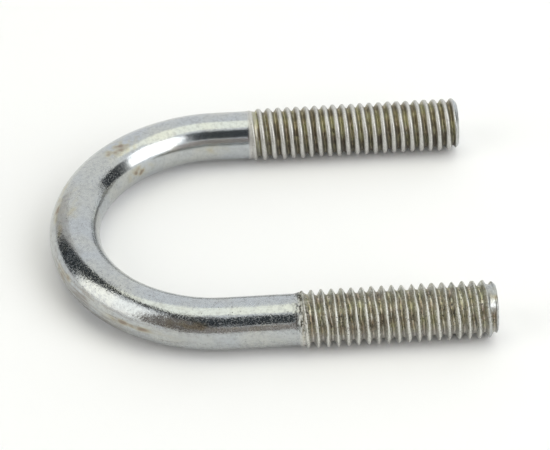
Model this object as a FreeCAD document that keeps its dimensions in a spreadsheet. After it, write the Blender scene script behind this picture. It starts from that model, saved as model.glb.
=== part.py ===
import FreeCAD, Part

import os

import Sketcher

# A round steel bar bent into a U, with a rolled right-hand thread on the end of each leg.
# The bolt lies flat: the plane of the U is level, the legs run along +X and the bend is at -X.
# The near leg is at -Y and the far leg at +Y. The origin is under the middle of the bolt, at
# the height of the surface that the thread crests rest on.

NODE = "u_bolt"
LEGS = ("near", "far")

# Driving sizes, in millimetres, degrees and turns.
DRIVING = {
    "inside_width": 25.0,
    "bar_diameter": 5.2,
    "overall_length": 44.5,
    "thread_diameter": 5.8,
    "thread_pitch": 1.0,
    "thread_depth": 0.6,
    "thread_angle": 60.0,
    "root_flat": 0.15,
    "near_thread_length": 19.9,
    "far_thread_length": 23.4,
    "runout_turns": 0.75,
    "swell_length": 0.5,
    "tip_bevel": 0.5,
    # how far features run into or past the metal, so that none of them just touch
    "swell_sink": 0.1,
    "bar_overlap": 3.0,
    "cutter_margin": 0.3,
}

# Sizes worked out from the driving ones. Each may use those above it.
DERIVED = {
    "bar_radius": "bar_diameter / 2",
    "crest_radius": "thread_diameter / 2",
    "root_radius": "crest_radius - thread_depth",
    "leg_y": "(inside_width + bar_diameter) / 2",
    "tip_x": "overall_length / 2",
    "bend_x": "leg_y + bar_radius - tip_x",
    "swell_start_radius": "bar_radius - swell_sink",
    "bevel_x": "tip_x - tip_bevel",
    "tip_radius": "crest_radius - tip_bevel",
    "cutter_radius": "crest_radius + cutter_margin",
    "groove_root": "root_flat / 2",
    "groove_mouth": "groove_root + (cutter_radius - root_radius) * tan(thread_angle * 1deg / 2)",
    "runout_length": "runout_turns * thread_pitch",
    "runout_rise": "bar_radius - root_radius + swell_sink",
    "runout_angle": "atan(runout_rise / runout_length) / 1deg",
    "near_start_x": "tip_x - near_thread_length",
    "near_swell_end_x": "near_start_x + swell_length",
    "near_bar_end_x": "near_start_x + bar_overlap",
    "near_groove_run": "near_thread_length + thread_pitch",
    "far_start_x": "tip_x - far_thread_length",
    "far_swell_end_x": "far_start_x + swell_length",
    "far_bar_end_x": "far_start_x + bar_overlap",
    "far_groove_run": "far_thread_length + thread_pitch",
}


def make_sizes(doc):
    """Makes the sheet that every feature reads its sizes from."""
    sheet = doc.addObject("Spreadsheet::Sheet", "Sizes")
    cells = [(name, str(number)) for name, number in DRIVING.items()]
    cells += [(name, "=" + formula) for name, formula in DERIVED.items()]
    for row, (name, content) in enumerate(cells, start=1):
        sheet.set(f"A{row}", name)
        sheet.set(f"B{row}", content)
        sheet.setAlias(f"B{row}", name)
        doc.recompute()


def number_of(obj, size):
    """Gives what a named size holds now. A leading minus turns it over, and None is nought."""
    if size is None:
        return 0.0
    sign = -1.0 if size.startswith("-") else 1.0
    return sign * float(getattr(obj.Document.Sizes, size.lstrip("-")))


def tie(obj, target, size):
    """Ties one of an object's numbers to a named size."""
    sign = "-" if size.startswith("-") else ""
    obj.setExpression(target, f"{sign}Sizes.{size.lstrip('-')}")


def leg_side(leg):
    """Gives the named distance of a leg's axis from the middle of the bolt."""
    return "-leg_y" if leg == "near" else "leg_y"


def add_sketch(body, name, role, offset):
    """Adds a sketch on one of the body's origin planes, moved by three named sizes."""
    plane = next(f for f in body.Origin.OriginFeatures if f.Role == role)
    sketch = body.newObject("Sketcher::SketchObject", name)
    sketch.AttachmentSupport = [(plane, "")]
    sketch.MapMode = "FlatFace"
    for axis, size in zip("xyz", offset):
        if size:
            tie(sketch, f".AttachmentOffset.Base.{axis}", size)
    return sketch


def dimension(sketch, kind, places, size):
    """Adds a dimension to a sketch and ties it to a named size."""
    index = sketch.addConstraint(Sketcher.Constraint(kind, *places, number_of(sketch, size)))
    if size:
        tie(sketch, f"Constraints[{index}]", size)


def draw_outline(sketch, corners):
    """Draws a closed polygon. Each corner is a pair of named sizes, from the sketch's origin."""
    points = [FreeCAD.Vector(number_of(sketch, x), number_of(sketch, y), 0) for x, y in corners]
    count = len(points)
    for i in range(count):
        sketch.addGeometry(Part.LineSegment(points[i], points[(i + 1) % count]), False)
    for i, (x, y) in enumerate(corners):
        sketch.addConstraint(Sketcher.Constraint("Coincident", i, 2, (i + 1) % count, 1))
        dimension(sketch, "DistanceX", (-1, 1, i, 1), x)
        dimension(sketch, "DistanceY", (-1, 1, i, 1), y)


def draw_centre_line(sketch):
    """Draws the bar's centre line: the near leg, the half circle of the bend and the far leg."""
    bend_x = number_of(sketch, "bend_x")
    radius = number_of(sketch, "leg_y")
    near_end = FreeCAD.Vector(number_of(sketch, "near_bar_end_x"), -radius, 0)
    near_turn = FreeCAD.Vector(bend_x, -radius, 0)
    crown = FreeCAD.Vector(bend_x - radius, 0, 0)
    far_turn = FreeCAD.Vector(bend_x, radius, 0)
    far_end = FreeCAD.Vector(number_of(sketch, "far_bar_end_x"), radius, 0)
    near_leg = sketch.addGeometry(Part.LineSegment(near_end, near_turn), False)
    bend = sketch.addGeometry(Part.Arc(far_turn, crown, near_turn), False)
    far_leg = sketch.addGeometry(Part.LineSegment(far_turn, far_end), False)
    for line in (near_leg, far_leg):
        sketch.addConstraint(Sketcher.Constraint("Horizontal", line))
    sketch.addConstraint(Sketcher.Constraint("Tangent", near_leg, 2, bend, 2))
    sketch.addConstraint(Sketcher.Constraint("Tangent", far_leg, 1, bend, 1))
    sketch.addConstraint(Sketcher.Constraint("PointOnObject", bend, 3, -1))
    dimension(sketch, "Radius", (bend,), "leg_y")
    dimension(sketch, "DistanceX", (-1, 1, bend, 3), "bend_x")
    dimension(sketch, "DistanceX", (-1, 1, near_leg, 1), "near_bar_end_x")
    dimension(sketch, "DistanceX", (-1, 1, far_leg, 2), "far_bar_end_x")


def bend_bar(body):
    """Sweeps the bar's round section along its centre line."""
    path = add_sketch(body, "bar_path", "XY_Plane", (None, None, "crest_radius"))
    draw_centre_line(path)
    section = add_sketch(body, "bar_section", "YZ_Plane", ("-leg_y", "crest_radius", "near_bar_end_x"))
    circle = Part.Circle(FreeCAD.Vector(), FreeCAD.Vector(0, 0, 1), number_of(section, "bar_radius"))
    section.addGeometry(circle, False)
    section.addConstraint(Sketcher.Constraint("Coincident", 0, 3, -1, 1))
    dimension(section, "Radius", (0,), "bar_radius")
    bar = body.newObject("PartDesign::AdditivePipe", "bar")
    bar.Profile = section
    bar.Spine = path
    body.Document.recompute()


def swell_leg(body, leg):
    """Turns the swollen, bevelled end of a leg, which its thread is rolled into."""
    offset = (None, leg_side(leg), "crest_radius")
    sketch = add_sketch(body, f"{leg}_swell_outline", "XY_Plane", offset)
    corners = (
        (f"{leg}_start_x", None),
        (f"{leg}_start_x", "swell_start_radius"),
        (f"{leg}_swell_end_x", "crest_radius"),
        ("bevel_x", "crest_radius"),
        ("tip_x", "tip_radius"),
        ("tip_x", None),
    )
    draw_outline(sketch, corners)
    swell = body.newObject("PartDesign::Revolution", f"{leg}_swell")
    swell.Profile = sketch
    swell.ReferenceAxis = (sketch, ["H_Axis"])
    swell.Angle = 360
    body.Document.recompute()


def add_helix(body, name, section, run):
    """Cuts a section along a right-hand helix round its leg, towards the tip."""
    helix = body.newObject("PartDesign::SubtractiveHelix", name)
    helix.Profile = section
    helix.ReferenceAxis = (section, ["H_Axis"])
    helix.Mode = "pitch-height-angle"
    helix.LeftHanded = False
    tie(helix, "Pitch", "thread_pitch")
    tie(helix, "Height", run)
    return helix


def cut_thread(body, leg):
    """Cuts a leg's groove, off its tip one way and fading out into the bar the other way."""
    uncut = body.Shape.Volume
    offset = (f"{leg}_start_x", leg_side(leg), "crest_radius")
    section = add_sketch(body, f"{leg}_groove_section", "XY_Plane", offset)
    corners = (
        ("-groove_root", "root_radius"),
        ("groove_root", "root_radius"),
        ("groove_mouth", "cutter_radius"),
        ("-groove_mouth", "cutter_radius"),
    )
    draw_outline(section, corners)
    add_helix(body, f"{leg}_groove", section, f"{leg}_groove_run")
    body.Document.recompute()
    threaded = body.Shape.Volume
    runout = add_helix(body, f"{leg}_runout", section, "runout_length")
    runout.Reversed = True
    tie(runout, "Angle", "runout_angle")
    body.Document.recompute()
    if not body.Shape.Volume < threaded < uncut:
        raise RuntimeError(f"The {leg} thread's groove or runout cuts nothing")


def check(doc, body):
    """Stops the build if any feature failed or the bolt isn't one whole solid."""
    for obj in doc.Objects:
        if "Invalid" in obj.State or "Error" in obj.State:
            raise RuntimeError(f"{obj.Label} failed: {obj.State}")
    shape = body.Shape
    if shape.isNull() or not shape.isValid() or len(shape.Solids) != 1:
        raise RuntimeError(f"{body.Label} isn't one valid solid")


def main():
    doc = FreeCAD.newDocument(NODE)
    make_sizes(doc)
    body = doc.addObject("PartDesign::Body", NODE)
    body.Label = NODE
    bend_bar(body)
    for leg in LEGS:
        swell_leg(body, leg)
    for leg in LEGS:
        cut_thread(body, leg)
    check(doc, body)
    os.makedirs("parts", exist_ok=True)
    body.Shape.exportStep(f"parts/{body.Label}.step")


main()
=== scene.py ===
import math

import bpy
import numpy as np
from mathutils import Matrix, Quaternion, Vector


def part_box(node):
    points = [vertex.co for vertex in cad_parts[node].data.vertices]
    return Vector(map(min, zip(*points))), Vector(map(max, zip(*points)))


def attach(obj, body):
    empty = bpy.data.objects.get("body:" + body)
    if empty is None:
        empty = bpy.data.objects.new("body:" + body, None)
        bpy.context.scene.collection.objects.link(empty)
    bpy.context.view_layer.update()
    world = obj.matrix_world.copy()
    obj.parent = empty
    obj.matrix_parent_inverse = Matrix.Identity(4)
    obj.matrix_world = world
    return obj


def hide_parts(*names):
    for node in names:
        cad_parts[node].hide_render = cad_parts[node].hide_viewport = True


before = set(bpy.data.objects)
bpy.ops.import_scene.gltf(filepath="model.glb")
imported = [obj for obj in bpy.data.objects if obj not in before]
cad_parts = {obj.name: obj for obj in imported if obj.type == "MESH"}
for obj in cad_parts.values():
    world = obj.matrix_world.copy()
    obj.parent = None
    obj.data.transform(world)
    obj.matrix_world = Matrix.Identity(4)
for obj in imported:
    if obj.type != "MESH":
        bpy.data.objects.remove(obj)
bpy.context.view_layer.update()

# A bare U-bolt: one bar of zinc-plated steel, bent round, with a rolled thread on each leg. One
# detailed mesh replaces the plain CAD node. The mesh is worked out in millimetres on the bar as
# if it were straight: "along" runs from the near tip, round the bend, to the far tip, and "turn"
# goes round the bar, from the outer side of the U over the top.

MM = 0.001
NODE = "u_bolt"
BODY = "root"

# Sizes of the bolt, in millimetres and degrees. The rest come from the CAD node's box.
PITCH = 1.0
BAR_RADIUS = 2.6
BEVEL = 0.5
BEVEL_BLEND = 0.12
NEAR_THREAD = 19.9
FAR_THREAD = 23.15
THREAD_DEPTH = 0.6
NEAR_FLANK = 28.0
FAR_FLANK = 33.0
NEAR_CREST_FLAT = 0.08
FAR_CREST_FLAT = 0.25
ROOT_BLEND = 0.2
CREST_BLEND = 0.08

# The far leg is shorter than the near one, its crests are lower, and its first grooves are late.
FAR_SHORT = 0.25
FAR_LOWER = 0.09
FAR_LATE = 0.2

# Rolling swells the bar under the grooves by this share of the crests' height.
EARLY_SWELL = 0.12

# The last groove before the near tip, in turns from the thread's start, is pressed mostly shut,
# and the tip slopes down there.
LAST_GROOVE = -19
PRESSED_SHUT = 0.7
TIP_SLOPE = 0.24

# Nicks knocked into the near thread's crests.
NICKS = 70
DEEPEST_NICK = 0.12

# The mesh: rings in each pitch of thread, points round the bar, and the ring spacing on the bend.
RINGS = 16
AROUND = 96
BEND_SPACING = 0.21
SPACING_CHANGE = 2.0
END_RINGS = 14


class Bolt:
    """The places on the bolt that everything else is measured from, in millimetres."""

    def __init__(self, low, high):
        self.crest_radius = (high.z - low.z) / 2
        self.height = (high.z + low.z) / 2
        self.leg_y = (high.y - low.y) / 2 - self.crest_radius
        self.tip_x = high.x
        self.bend_x = low.x + self.leg_y + BAR_RADIUS
        self.leg = self.tip_x - self.bend_x
        self.bend = math.pi * self.leg_y
        self.length = 2 * self.leg + self.bend - FAR_SHORT
        self.near_start = NEAR_THREAD
        self.far_start = self.length - FAR_THREAD

    def is_near(self, along):
        """Which places are on the near half of the bar."""
        return along < self.length / 2

    def to_end(self, along):
        """The distance to the nearer end of the bar."""
        return np.minimum(along, self.length - along)


def smooth(value, low, high):
    """Goes from 0 at low to 1 at high with no corners."""
    t = np.clip((value - low) / (high - low), 0.0, 1.0)
    return t * t * (3.0 - 2.0 * t)


def soft_min(a, b, blend):
    """The lower of two heights, rounded where they cross."""
    mix = np.clip(0.5 + 0.5 * (b - a) / blend, 0.0, 1.0)
    return b + (a - b) * mix - blend * mix * (1.0 - mix)


def soft_max(a, b, blend):
    """The higher of two heights, rounded where they cross."""
    return -soft_min(-a, -b, blend)


def bump(value, middle, half_width):
    """A smooth hill of height 1."""
    return np.exp(-(((value - middle) / half_width) ** 2))


def apart(degrees, side):
    """The angle from a side of the bar, the short way round."""
    return (degrees - side + 180.0) % 360.0 - 180.0


def ripple(points, size, seed, waves=28):
    """A smooth random field of about unit strength whose bumps are about the given size."""
    random = np.random.default_rng(seed)
    field = np.zeros(len(points))
    for _ in range(waves):
        way = random.normal(size=3)
        way *= math.tau * random.uniform(0.35, 0.75) / np.linalg.norm(way)
        field += np.cos(points @ (way / np.asarray(size)) + random.uniform(0.0, math.tau))
    return field * math.sqrt(2.0 / waves)


def ring_places(bolt):
    """How far along the bar each ring is, as a function of the ring's number."""
    along = np.linspace(0.0, bolt.length, 20001)
    thread = PITCH / RINGS
    from_near = smooth(along, bolt.near_start + PITCH, bolt.near_start + PITCH + SPACING_CHANGE)
    to_far = smooth(along, bolt.far_start - PITCH - SPACING_CHANGE, bolt.far_start - PITCH)
    spacing = thread + (BEND_SPACING - thread) * (from_near - to_far)
    step = np.diff(along) / (0.5 * (spacing[1:] + spacing[:-1]))
    number = np.concatenate([[0.0], np.cumsum(step)])
    return number, along


def spiral_grid(bolt):
    """The grid's points: rings that climb one pitch in each turn, so that they follow the thread."""
    number, along = ring_places(bolt)
    total = number[-1]
    first = -END_RINGS - RINGS
    count = int(math.ceil(total)) + END_RINGS + RINGS - first + 1
    ring, step = np.meshgrid(np.arange(count) + first, np.arange(AROUND), indexing="ij")
    place = ring + RINGS * step / AROUND
    turn = math.tau * step / AROUND
    before = np.clip(1.0 + place / END_RINGS, 0.0, 1.0)
    after = np.clip(1.0 - (place - total) / END_RINGS, 0.0, 1.0)
    return np.interp(place, number, along), turn, np.minimum(before, after)


def thread_phase(bolt, along, turn):
    """Pitches from a groove's middle: whole numbers are grooves and halves are crests."""
    near = (along - (bolt.near_start - PITCH / 2)) / PITCH - turn / math.tau
    far = (along - bolt.far_start) / PITCH - turn / math.tau
    return np.where(bolt.is_near(along), near, far)


def groove_drop(phase, depth, crest_flat, slope, root_blend, crest_blend):
    """How far the thread lies below its crest: sloping flanks, with rounded crests and roots."""
    from_crest = PITCH / 2 - np.abs(phase - np.round(phase)) * PITCH
    flank = (from_crest - crest_flat / 2) / np.tan(np.radians(slope))
    return soft_min(soft_max(flank, 0.0, crest_blend), depth, root_blend)


def thread_share(bolt, along):
    """How far the thread's crests and its grooves have formed: 0 on the plain bar, 1 in full thread."""
    near = bolt.is_near(along)
    crest = np.where(
        near,
        1.0 - smooth(along, bolt.near_start - 0.8, bolt.near_start - 0.1),
        smooth(along, bolt.far_start + 0.2, bolt.far_start + 1.3))
    groove = np.where(
        near,
        1.0 - smooth(along, bolt.near_start - 1.7, bolt.near_start - 0.15),
        smooth(along, bolt.far_start + 0.2, bolt.far_start + 1.8))
    return crest, groove


def squashed_shut(phase, degrees):
    """Where the last groove on the near tip is pressed closed over the top."""
    last = np.round(phase) == LAST_GROOVE
    return np.where(last, smooth(degrees, 25, 50) - smooth(degrees, 105, 130), 0.0)


def nicks(bolt, along, degrees):
    """Small dents knocked into the crests of the near thread."""
    random = np.random.default_rng(21)
    dents = np.zeros(len(along))
    near = np.flatnonzero(along < bolt.near_start)
    for _ in range(NICKS):
        middle, side = random.uniform(0.5, bolt.near_start - 1.0), random.uniform(0.0, 360.0)
        long, wide = random.uniform(0.08, 0.3), random.uniform(3.0, 9.0)
        depth = random.uniform(0.02, 0.09)
        dents[near] += depth * bump(along[near], middle, long) * bump(apart(degrees[near], side), 0.0, wide)
    return np.minimum(dents, DEEPEST_NICK)


def start_scar(bolt, along, degrees):
    """Where the rolling dies tore the surface as they first bit into the near leg."""
    side = smooth(degrees, 0.0, 30.0) - smooth(degrees, 130.0, 170.0)
    return side * bump(along, bolt.near_start - 0.35, 0.5)


def rolled_phase(bolt, along, straight, phase):
    """The thread's phase with a rolled thread's small errors, and the far thread's late start."""
    near = bolt.is_near(along)
    early = 1.0 - smooth(along, bolt.far_start + 0.3, bolt.far_start + 4.0)
    wander = np.where(near, 0.025, 0.008) * ripple(straight, 1.3, 5)
    return phase + np.where(near, 0.0, FAR_LATE * early) + wander


def crest_flat(bolt, along, turn, straight):
    """The width of the flat on the crests, worn wider on the near leg's outer side."""
    worn = NEAR_CREST_FLAT + 0.08 * np.maximum(np.cos(turn + 0.4), 0.0) + 0.03 * ripple(straight, 1.1, 8)
    return np.where(bolt.is_near(along), worn, FAR_CREST_FLAT + 0.02 * ripple(straight, 1.5, 8))


def thread_shape(bolt, along, turn, straight, phase):
    """The crest's radius, how far the surface lies below it, and where the groove is pressed shut."""
    near = bolt.is_near(along)
    lower = np.where(near, 0.0, FAR_LOWER)
    phase = rolled_phase(bolt, along, straight, phase)
    crest_in, groove_in = thread_share(bolt, along)
    rise = bolt.crest_radius - lower - BAR_RADIUS
    crest = BAR_RADIUS + rise * (EARLY_SWELL * groove_in + (1.0 - EARLY_SWELL) * crest_in)
    shut = np.where(near, squashed_shut(phase, np.degrees(turn)), 0.0)
    depth = (THREAD_DEPTH - lower) * groove_in * (1.0 - PRESSED_SHUT * shut)
    flat = crest_flat(bolt, along, turn, straight)
    slope = np.where(near, NEAR_FLANK, FAR_FLANK)
    drop = groove_drop(phase, depth, flat, slope, ROOT_BLEND * groove_in + 0.001, CREST_BLEND)
    drop = drop * np.where(depth > 0.0, 1.0, 0.0)
    return crest, drop + TIP_SLOPE * shut * (1.0 - smooth(along, 0.0, 1.3)), shut


def bevel_radius(bolt, along):
    """The radius of the bevel that ends each leg."""
    return bolt.crest_radius - BEVEL + bolt.to_end(along)


def bar_radius(bolt, along, turn, straight, crest, drop):
    """The radius of the bar at every point, with its threads, dents and tips."""
    degrees = np.degrees(turn)
    on_crest = 1.0 - smooth(drop, 0.0, 0.3)
    worn = (0.016 * ripple(straight, 0.9, 7) - 0.01) * thread_share(bolt, along)[1]
    worn = (worn - nicks(bolt, along, degrees)) * on_crest
    dents = 0.004 * ripple(straight, 2.6, 9) + 0.0015 * ripple(straight, 0.7, 10)
    scar = start_scar(bolt, along, degrees) * 0.05 * ripple(straight, 0.4, 12)
    lip = 0.03 * bump(along, bolt.far_start + 0.42, 0.14)
    return soft_min(crest - drop + worn + dents + scar + lip, bevel_radius(bolt, along), BEVEL_BLEND)


def bend_points(bolt, along, turn, radius):
    """Places points of the straight bar on the bent one."""
    angle = np.clip((along - bolt.leg) / bolt.leg_y, 0.0, math.pi)
    out_x = -np.sin(angle)
    out_y = -np.cos(angle)
    straight = np.maximum(bolt.leg - along, 0.0) + np.maximum(along - bolt.leg - bolt.bend, 0.0)
    reach = bolt.leg_y + radius * np.cos(turn)
    x = bolt.bend_x + straight + reach * out_x
    y = reach * out_y
    z = bolt.height + radius * np.sin(turn)
    return np.stack([x, y, z], axis=-1)


def grid_faces(count):
    """Four-sided faces between the grid's points, closed round the bar one pitch further along."""
    index = np.arange(count * AROUND).reshape(count, AROUND)
    beside = np.full_like(index, -1)
    beside[:, :-1] = index[:, 1:]
    beside[:-RINGS, -1] = index[RINGS:, 0]
    quads = np.stack([index[:-1], beside[:-1], beside[1:], index[1:]], axis=-1).reshape(-1, 4)
    return quads[(quads >= 0).all(axis=1)]


def weld(count, faces, collapsed):
    """Joins each end's collapsed points into one and drops the faces that this closes up."""
    index = np.arange(count)
    for end in collapsed:
        index[end] = np.flatnonzero(end)[0]
    kept = []
    for face in index[faces].tolist():
        corners = list(dict.fromkeys(face))
        if len(corners) > 2:
            kept.append(corners)
    used = np.unique(np.concatenate([np.asarray(f) for f in kept]))
    renumber = np.full(count, -1)
    renumber[used] = np.arange(len(used))
    return used, [[int(renumber[c]) for c in f] for f in kept]


def add_attribute(mesh, name, kind, values):
    """Stores a value at each point for the material to read."""
    attribute = mesh.attributes.new(name, kind, "POINT")
    field = "vector" if kind == "FLOAT_VECTOR" else "value"
    attribute.data.foreach_set(field, np.ascontiguousarray(values, np.float32).ravel())


# Stains on the bar: along and turn of the middle, half length along and half width round, in
# millimetres and degrees, and strength.
STAINS = (
    (63.0, 94.0, 2.2, 24.0, 0.55),
    (61.4, 92.0, 0.7, 12.0, 0.6),
    (64.5, 88.0, 0.5, 9.0, 0.5),
    (63.4, 176.0, 1.8, 14.0, 0.75),
    (73.9, 174.0, 2.0, 14.0, 0.35),
    (53.0, 46.0, 3.0, 9.0, 0.8),
    (49.5, 54.0, 3.0, 9.0, 0.5),
    (52.0, 88.0, 2.6, 16.0, 0.30),
    (0.4, 68.0, 0.5, 28.0, 0.6),
    (30.1, 36.0, 2.2, 10.0, 0.6),
    (25.0, 30.0, 3.5, 8.0, 0.35),
    (45.0, 10.0, 1.5, 14.0, 0.6),
    (35.5, 6.0, 2.6, 6.0, 0.9),
    (43.5, 20.0, 0.5, 6.0, 0.9),
)


def stain_mask(along, degrees, straight):
    """How stained the bar is at every point, with ragged edges."""
    mask = np.zeros(len(along))
    for middle, side, length, width, strength in STAINS:
        spot = bump(along, middle, length) * bump(apart(degrees, side), 0.0, width)
        mask = np.maximum(mask, strength * spot)
    ragged = 0.75 + 0.3 * ripple(straight, 1.0, 11) + 0.3 * ripple(straight, 0.4, 13)
    return np.clip(mask * ragged, 0.0, 1.0)


def threaded_share(bolt, along, crest, drop, shut):
    """Where the surface looks like thread: not on the bar, the bevels or the pressed-shut groove."""
    near_end = smooth(along, bolt.near_start - 0.6, bolt.near_start - 0.1)
    far_end = smooth(along, bolt.far_start + 0.15, bolt.far_start + 0.5)
    on_bevel = smooth(crest - drop - bevel_radius(bolt, along), -0.15, 0.0)
    tip = np.where(drop > 0.15, 1.0, smooth(along, 0.5, 1.4))
    return (1.0 - (near_end - far_end)) * (1.0 - on_bevel) * (1.0 - shut) * tip


def surface_marks(bolt, along, turn, cover, crest, drop, shut, phase):
    """What the material has to know at every point, by name."""
    degrees = np.degrees(turn)
    threaded = threaded_share(bolt, along, crest, drop, shut)
    scar = start_scar(bolt, along, degrees)
    tip = 1.0 - smooth(along, 0.9, 1.5) + 1.0 - smooth(bolt.length - along, 0.1, 0.5)
    face = 1.0 - smooth(cover, 0.9, 1.0)
    outer_side = 1.0 - smooth(degrees, 15, 45) + smooth(degrees, 300, 330)
    near_part = 1.0 - smooth(along, 57.0, 63.0)
    return {
        "groove": drop / THREAD_DEPTH,
        "thread": threaded,
        # Which flank of the groove each point is on, for the painted shade and light on the flanks.
        "flank": threaded * np.sin(math.tau * phase),
        "scar": np.maximum(np.maximum(scar, 0.22 * tip), 0.2 * face),
        "dull": np.maximum(0.2 * scar, 0.20 * tip),
        "rubbed": bump(along, 42.0, 9.0) * outer_side,
        "pitted": 0.25 + 0.75 * near_part * smooth(degrees, -10, 30),
    }


def make_bolt():
    """Makes the bar as one closed mesh."""
    low, high = (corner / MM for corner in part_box(NODE))
    bolt = Bolt(low, high)
    along, turn, cover = (values.ravel() for values in spiral_grid(bolt))
    sideways, upwards = np.cos(turn), np.sin(turn)
    straight = np.stack([along, BAR_RADIUS * sideways, BAR_RADIUS * upwards], axis=-1)
    phase = thread_phase(bolt, along, turn)
    crest, drop, shut = thread_shape(bolt, along, turn, straight, phase)
    radius = bar_radius(bolt, along, turn, straight, crest, drop) * cover
    near = bolt.is_near(along)
    centres = [(cover == 0.0) & near, (cover == 0.0) & ~near]
    used, faces = weld(len(along), grid_faces(len(along) // AROUND), centres)
    mesh = bpy.data.meshes.new(NODE + "_bar")
    mesh.from_pydata((bend_points(bolt, along, turn, radius)[used] * MM).tolist(), [], faces)
    mesh.shade_smooth()
    marks = surface_marks(bolt, along, turn, cover, crest, drop, shut, phase)
    marks["stain"] = stain_mask(along, np.degrees(turn), straight)
    for name, values in marks.items():
        add_attribute(mesh, name, "FLOAT", values[used])
    climb = PITCH * np.mod(turn / math.tau + 0.25, 1.0)
    for name, start in (("bar", along), ("spiral", along - climb)):
        place = np.stack([start, radius * sideways, radius * upwards], axis=-1)
        add_attribute(mesh, name, "FLOAT_VECTOR", place[used])
    piece = bpy.data.objects.new(NODE + "_bar", mesh)
    bpy.context.scene.collection.objects.link(piece)
    return piece


# Colours of the plate, of what lies on it, and of the light and shade painted into the grooves.
COOL_ZINC = (0.465, 0.49, 0.51, 1)
WARM_ZINC = (0.50, 0.51, 0.49, 1)
DARK_MOTTLE = (0.35, 0.36, 0.37, 1)
OCHRE_STAIN = (0.45, 0.42, 0.31, 1)
BROWN_STAIN = (0.22, 0.16, 0.13, 1)
RUBBED_BROWN = (0.24, 0.21, 0.18, 1)
PIT = (0.10, 0.09, 0.085, 1)
SCAR_DARK = (0.07, 0.065, 0.05, 1)
SCAR_PALE = (0.66, 0.65, 0.60, 1)
OLIVE = (0.48, 0.46, 0.27, 1)
RUST = (0.40, 0.32, 0.22, 1)
PINK = (0.58, 0.47, 0.42, 1)
GREEN_GREY = (0.36, 0.39, 0.34, 1)
PALE_LINE = (0.76, 0.74, 0.66, 1)
BLACK_LINE = (0.07, 0.06, 0.045, 1)
POCK = (0.04, 0.04, 0.038, 1)
MURK = (0.13, 0.10, 0.075, 1)
# Painted reflection: a golden sheen standing in for the overhead light on the upper side of the far
# grooves.
PAINTED_TOP_SHEEN = (0.33, 0.29, 0.14, 1)
# Painted light: makes the near grooves paler towards the underside.
PAINTED_UNDERSIDE_LIGHT = (0.60, 0.58, 0.56, 1)
# Painted shade: makes the far grooves darker towards the underside.
PAINTED_UNDERSIDE_SHADE = (0.07, 0.062, 0.055, 1)
# Painted shade on one flank of each groove and painted light on the other.
PAINTED_SHADE_FLANK = (0.16, 0.16, 0.14, 1)
PAINTED_LIT_FLANK = (0.36, 0.37, 0.34, 1)
CHIP = (0.74, 0.76, 0.75, 1)
NEAR_CREST = (0.66, 0.66, 0.62, 1)
NEAR_CREST_SPECK = (0.16, 0.16, 0.15, 1)
FAR_CREST = (0.60, 0.595, 0.57, 1)
FAR_CREST_SPECK = (0.42, 0.41, 0.39, 1)

# The depth of one unit of the material's fine relief.
RELIEF = 0.010 * MM


class Nodes:
    """Adds and joins the nodes of one material."""

    def __init__(self, name):
        self.material = bpy.data.materials.new(name)
        self.material.use_nodes = True
        self.tree = self.material.node_tree
        self.shader = self.tree.nodes["Principled BSDF"]

    def set(self, socket, value):
        """Joins a node's result to a socket, or writes a plain value there."""
        if isinstance(value, bpy.types.NodeSocket):
            self.tree.links.new(value, socket)
        else:
            socket.default_value = value

    def add(self, kind, inputs, output=0, **settings):
        """Adds a node, sets its inputs by name or number, and gives one of its results."""
        node = self.tree.nodes.new(kind)
        for key, value in settings.items():
            setattr(node, key, value)
        for key, value in inputs.items():
            self.set(node.inputs[key], value)
        return node.outputs[output]

    def attribute(self, name, output="Fac"):
        return self.add("ShaderNodeAttribute", {}, output, attribute_name=name)

    def math(self, operation, a, b=0.0, clamp=False):
        return self.add("ShaderNodeMath", {0: a, 1: b}, operation=operation, use_clamp=clamp)

    def ramp(self, value, low, high, to_low=0.0, to_high=1.0):
        """Maps low..high to to_low..to_high smoothly, and holds outside."""
        inputs = {"Value": value, "From Min": low, "From Max": high, "To Min": to_low, "To Max": to_high}
        return self.add("ShaderNodeMapRange", inputs, interpolation_type="SMOOTHSTEP")

    def blend(self, share, a, b):
        """Mixes two colours."""
        inputs = {"Factor": share, 6: a, 7: b}
        return self.add("ShaderNodeMix", inputs, 2, data_type="RGBA")

    def noise(self, vector, scale, detail=3.0, roughness=0.55):
        inputs = {"Vector": vector, "Scale": scale, "Detail": detail, "Roughness": roughness}
        return self.add("ShaderNodeTexNoise", inputs)

    def cells(self, vector, scale):
        """Random cells: the distance from each one's middle, and a colour of its own."""
        distance = self.add("ShaderNodeTexVoronoi", {"Vector": vector, "Scale": scale})
        return distance, distance.node.outputs["Color"]

    def axis(self, vector, name):
        return self.add("ShaderNodeSeparateXYZ", {0: vector}, name)

    def product(self, a, b):
        return self.math("MULTIPLY", a, b)

    def stretch(self, vector, scale):
        return self.add("ShaderNodeVectorMath", {0: vector, 1: scale}, operation="MULTIPLY")


def clean_zinc(n, place, pitted, stain):
    """The colour of the bar: cool grey, clouded and spotted, with a few brown stains."""
    colour = n.blend(n.ramp(n.noise(place, 0.22, 2.0), 0.35, 0.65), COOL_ZINC, WARM_ZINC)
    mottle = n.ramp(n.noise(place, 2.6, 4.0, 0.7), 0.4, 0.75, 0.0, n.ramp(pitted, 0.2, 1.0, 0.7, 1.0))
    colour = n.blend(mottle, colour, DARK_MOTTLE)
    colour = n.blend(n.ramp(stain, 0.0, 0.5, 0.0, 0.7), colour, OCHRE_STAIN)
    return n.blend(n.ramp(stain, 0.3, 0.9, 0.0, 0.8), colour, BROWN_STAIN)


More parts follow.
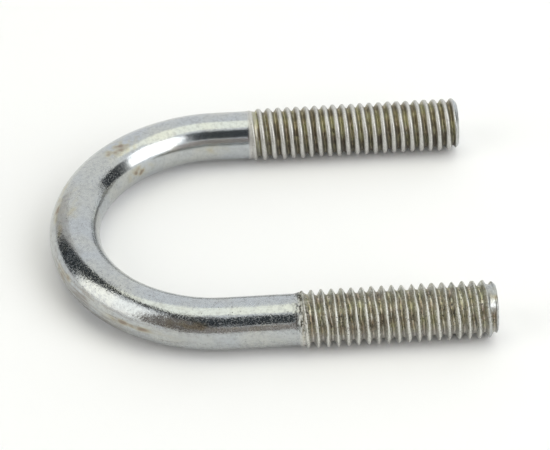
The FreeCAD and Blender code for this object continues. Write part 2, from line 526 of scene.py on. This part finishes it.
def groove_dirt(n, place, lines, far):
    """The colour of the dirt in the grooves: olive and brown patches, fine lines and black specks."""
    patch = n.noise(n.stretch(place, (0.7, 0.7, 0.7)), 1.0, 3.0, 0.6)
    tint = n.noise(n.stretch(place, (2.5, 1.3, 1.3)), 1.3, 3.0, 0.6)
    colour = n.blend(n.ramp(patch, 0.40, 0.60), OLIVE, RUST)
    colour = n.blend(n.ramp(tint, 0.52, 0.68, 0.0, 0.8), colour, PINK)
    colour = n.blend(n.ramp(tint, 0.46, 0.32, 0.0, 0.8), colour, GREEN_GREY)
    pale = n.product(n.ramp(lines, 0.53, 0.61, 0.0, 0.85), n.ramp(far, 0.0, 1.0, 1.0, 0.15))
    colour = n.blend(pale, colour, PALE_LINE)
    colour = n.blend(n.ramp(lines, 0.47, 0.39, 0.0, 0.92), colour, BLACK_LINE)
    pock = n.ramp(n.noise(place, 4.5, 2.0, 0.6), 0.56, 0.63)
    colour = n.blend(n.product(pock, n.ramp(far, 0.0, 1.0, 0.95, 0.1)), colour, POCK)
    return n.blend(n.product(far, n.ramp(patch, 0.50, 0.60, 0.0, 0.75)), colour, MURK)


def groove_painted_light(n, colour, flank, far, height):
    """Paints light and shade into the grooves: a golden painted reflection above and painted shade below on
    the far leg, painted light below on the near one, and painted shade and light on the two flanks.
    """
    # Painted reflection: a golden sheen on the upper side of the far grooves, standing in for the overhead
    # light.
    colour = n.blend(n.product(far, n.ramp(height, 0.9, 1.9, 0.0, 0.25)), colour, PAINTED_TOP_SHEEN)
    # Painted light: the near grooves paler towards the underside.
    underside_light = n.math("SUBTRACT", n.ramp(height, 0.7, -1.0, 0.0, 0.7), far, True)
    colour = n.blend(underside_light, colour, PAINTED_UNDERSIDE_LIGHT)
    # Painted shade: the far grooves darker towards the underside.
    colour = n.blend(n.product(far, n.ramp(height, 1.3, -0.3, 0.0, 0.55)), colour, PAINTED_UNDERSIDE_SHADE)
    # Painted shade on one flank of each groove and painted light on the other.
    colour = n.blend(n.ramp(flank, 0.0, 0.9, 0.0, 0.35), colour, PAINTED_SHADE_FLANK)
    return n.blend(n.ramp(flank, 0.0, -0.9, 0.0, 0.5), colour, PAINTED_LIT_FLANK)


def thread_zinc(n, place, lines, groove, flank, far):
    """The colour of the thread: ivory crests over dirty grooves with painted light and shade, chipped on
    the near leg.
    """
    colour = groove_dirt(n, place, lines, far)
    colour = groove_painted_light(n, colour, flank, far, n.axis(place, "Z"))
    speck = n.noise(place, 6.0, 2.0, 0.6)
    chips = n.product(n.ramp(speck, 0.52, 0.60, 0.0, 0.8), n.ramp(groove, 0.9, 0.5))
    colour = n.blend(n.math("SUBTRACT", chips, far, True), colour, CHIP)
    near_crest = n.blend(n.ramp(speck, 0.54, 0.70), NEAR_CREST, NEAR_CREST_SPECK)
    far_crest = n.blend(n.ramp(speck, 0.45, 0.75), FAR_CREST, FAR_CREST_SPECK)
    edge = n.ramp(far, 0.0, 1.0, 0.05, 0.18)
    share = n.ramp(groove, edge, n.math("ADD", edge, 0.17))
    return n.blend(share, n.blend(far, near_crest, far_crest), colour)


def pits(n, place, pitted):
    """Where the small pits in the bar are."""
    distance, colour = n.cells(place, 2.4)
    some = n.ramp(n.add("ShaderNodeSeparateColor", {0: colour}), 0.50, 0.56)
    return n.product(n.product(some, n.ramp(distance, 0.16, 0.06)), pitted)


def zinc_roughness(n, place, pitted, groove, thread, far):
    """Bright and flecked on the bar, dull in the thread and duller still in the far grooves."""
    fleck = n.product(n.ramp(n.noise(place, 7.0, 2.0, 0.6), 0.50, 0.64), pitted)
    bar = n.math("ADD", n.ramp(pitted, 0.2, 1.0, 0.17, 0.14), n.product(fleck, 0.20))
    deep = n.product(n.ramp(groove, 0.5, 0.9, 0.0, 0.25), far)
    threads = n.math("ADD", n.ramp(groove, 0.1, 0.4, 0.5, 0.36), deep)
    rough = n.add("ShaderNodeMix", {"Factor": thread, 2: bar, 3: threads}, 0)
    return n.math("ADD", rough, n.attribute("dull"))


def zinc():
    """Zinc plate: bright on the bar, dull and dirty in the thread, with painted light and shade in its
    grooves.
    """
    n = Nodes("zinc_plate")
    place = n.attribute("bar", "Vector")
    groove, thread, flank = n.attribute("groove"), n.attribute("thread"), n.attribute("flank")
    pitted, scar = n.attribute("pitted"), n.attribute("scar")
    far = n.ramp(n.axis(place, "X"), 45.0, 55.0)
    drawn = n.noise(n.stretch(place, (0.35, 3.5, 3.5)), 1.0, 3.0, 0.6)
    torn = n.noise(n.stretch(place, (5.0, 2.5, 2.5)), 1.0, 3.0, 0.65)
    lines = n.noise(n.stretch(n.attribute("spiral", "Vector"), (6.0, 0.9, 0.9)), 1.0, 3.0, 0.7)
    pit = pits(n, place, pitted)

    bar = clean_zinc(n, place, pitted, n.attribute("stain"))
    rubbed = n.product(n.attribute("rubbed"), n.ramp(drawn, 0.42, 0.62, 0.0, 0.75))
    bar = n.blend(pit, n.blend(rubbed, bar, RUBBED_BROWN), PIT)
    colour = n.blend(thread, bar, thread_zinc(n, place, lines, groove, flank, far))
    colour = n.blend(n.product(n.ramp(torn, 0.44, 0.60), scar), colour, SCAR_DARK)
    colour = n.blend(n.product(n.ramp(torn, 0.46, 0.34), scar), colour, SCAR_PALE)

    grain = n.math("ADD", n.noise(place, 5.0, 1.5, 0.5), drawn)
    height = n.product(grain, n.ramp(pitted, 0.2, 1.0, 0.3, 1.1))
    height = n.math("SUBTRACT", height, n.product(pit, 0.8))
    height = n.math("ADD", height, n.product(lines, n.product(thread, n.ramp(far, 0.0, 1.0, 3.5, 1.5))))
    height = n.math("ADD", height, n.product(torn, n.product(scar, 6.0)))
    normal = n.add("ShaderNodeBump", {"Strength": 1.0, "Distance": RELIEF, "Height": height})

    dirty = n.product(thread, n.ramp(groove, 0.1, 0.35))
    metallic = n.ramp(dirty, 0.0, 1.0, 1.0, n.ramp(far, 0.0, 1.0, 0.78, 0.9))
    n.set(n.shader.inputs["Base Color"], colour)
    n.set(n.shader.inputs["Metallic"], metallic)
    n.set(n.shader.inputs["Roughness"], zinc_roughness(n, place, pitted, groove, thread, far))
    n.set(n.shader.inputs["Normal"], normal)
    return n.material


# The studio: bearings and elevations in degrees, distances in metres.
BLACK = (0.040, 0.048, 0.056)
SIDE_BLACK = (0.030, 0.038, 0.046)
SKY = (1.01, 1.03, 1.035, 1.0)
FLOOR = (0.93, 0.93, 0.94)
FLOOR_HALF = 3.0

# The camera, fitted to the photograph's view of the bolt, in millimetres and degrees.
SENSOR = 36.0
LENS = 147.1
CAMERA_TARGET = (1.15, -0.42, 2.9)
CAMERA_DISTANCE = 233.75
CAMERA_BEARING = (182.316, 40.1)
CAMERA_ROLL = -1.674


def direction(azimuth, elevation):
    """A direction from its bearing, clockwise from +Y seen from above, and its elevation."""
    a, e = math.radians(azimuth), math.radians(elevation)
    return Vector((math.sin(a) * math.cos(e), math.cos(a) * math.cos(e), math.sin(e)))


def aim(piece, azimuth, elevation, lean, distance):
    """Puts a light or card at a bearing from the origin, facing it."""
    way = direction(azimuth, elevation)
    piece.location = way * distance
    piece.rotation_mode = "QUATERNION"
    spin = Quaternion((0, 0, 1), math.radians(lean))
    piece.rotation_quaternion = way.to_track_quat("Z", "Y") @ spin


def add_softbox(name, azimuth, elevation, wide, high, radiance, colour, lean=0.0, distance=0.7):
    """A rectangular light that covers the given angles as seen from the bolt."""
    light = bpy.data.lights.new(name, "AREA")
    light.shape = "RECTANGLE"
    light.size = 2 * distance * math.tan(math.radians(wide / 2))
    light.size_y = 2 * distance * math.tan(math.radians(high / 2))
    light.energy = radiance * 4 * light.size * light.size_y
    light.color = colour
    piece = bpy.data.objects.new(name, light)
    piece.visible_camera = False
    bpy.context.scene.collection.objects.link(piece)
    aim(piece, azimuth, elevation, lean, distance)


def add_card(name, azimuth, elevation, wide, high, colour, lean=0.0, distance=0.6):
    """A card that keeps light off one side, and shows as a darker band in the metal."""
    half_x = distance * math.tan(math.radians(wide / 2))
    half_y = distance * math.tan(math.radians(high / 2))
    piece = add_rectangle(name, half_x, half_y, colour, 0.9)
    piece.visible_camera = False
    aim(piece, azimuth, elevation, lean, distance)


def add_rectangle(name, half_x, half_y, colour, roughness):
    """A flat, matt rectangle of the studio, which isn't part of the bolt."""
    mesh = bpy.data.meshes.new(name)
    corners = [(-half_x, -half_y, 0), (half_x, -half_y, 0), (half_x, half_y, 0), (-half_x, half_y, 0)]
    mesh.from_pydata(corners, [], [(0, 1, 2, 3)])
    material = bpy.data.materials.new(name)
    material.use_nodes = True
    shader = material.node_tree.nodes["Principled BSDF"]
    shader.inputs["Base Color"].default_value = (*colour, 1.0)
    shader.inputs["Roughness"].default_value = roughness
    mesh.materials.append(material)
    piece = bpy.data.objects.new(name, mesh)
    bpy.context.scene.collection.objects.link(piece)
    return piece


def add_floor():
    """A plain pale floor at the height that the bolt rests on."""
    add_rectangle("floor", FLOOR_HALF, FLOOR_HALF, FLOOR, 0.8)


def add_lights():
    """Two soft boxes in front, one overhead, and dark cards between them."""
    add_softbox("right_box", 122, 34, 42, 49, 1.7, (1.0, 1.0, 0.98), lean=-6)
    add_softbox("left_box", -112, 30, 62, 50, 0.63, (1.0, 0.98, 0.88))
    add_softbox("top_box", 0, 85.5, 58, 38, 0.47, (1.0, 0.98, 0.64))
    add_card("front_card", 180, 47.5, 40, 38, BLACK)
    add_card("front_left_card", -152, 36, 42, 66, (0.28, 0.25, 0.23), lean=-18, distance=0.62)
    add_card("low_card", 178, 12, 72, 26, (0.42, 0.38, 0.36), distance=0.64)
    add_card("left_card", -61, 30, 28, 56, SIDE_BLACK, lean=8)
    add_card("left_back_card", -38, 20, 22, 46, (0.74, 0.72, 0.71), lean=8, distance=0.66)
    add_card("left_top_card", -105, 64, 70, 9, (0.02, 0.02, 0.02))
    add_card("right_card", 80, 20, 30, 44, SIDE_BLACK, lean=-12)
    world = bpy.data.worlds.new("studio")
    world.use_nodes = True
    world.node_tree.nodes["Background"].inputs["Color"].default_value = SKY
    bpy.context.scene.world = world


def add_camera():
    """The camera at the photograph's viewing angle."""
    data = bpy.data.cameras.new("camera")
    data.lens = LENS
    data.sensor_width = SENSOR
    data.clip_start = 0.01
    camera = bpy.data.objects.new("camera", data)
    bpy.context.scene.collection.objects.link(camera)
    forward = -direction(*CAMERA_BEARING)
    camera.location = Vector(CAMERA_TARGET) * MM - forward * CAMERA_DISTANCE * MM
    camera.rotation_mode = "QUATERNION"
    roll = Quaternion((0, 0, 1), math.radians(CAMERA_ROLL))
    camera.rotation_quaternion = forward.to_track_quat("-Z", "Y") @ roll
    bpy.context.scene.camera = camera


piece = make_bolt()
piece.data.materials.append(zinc())
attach(piece, BODY)
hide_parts(NODE)
add_floor()
add_lights()
add_camera()
bpy.context.scene.view_settings.view_transform = "Standard"
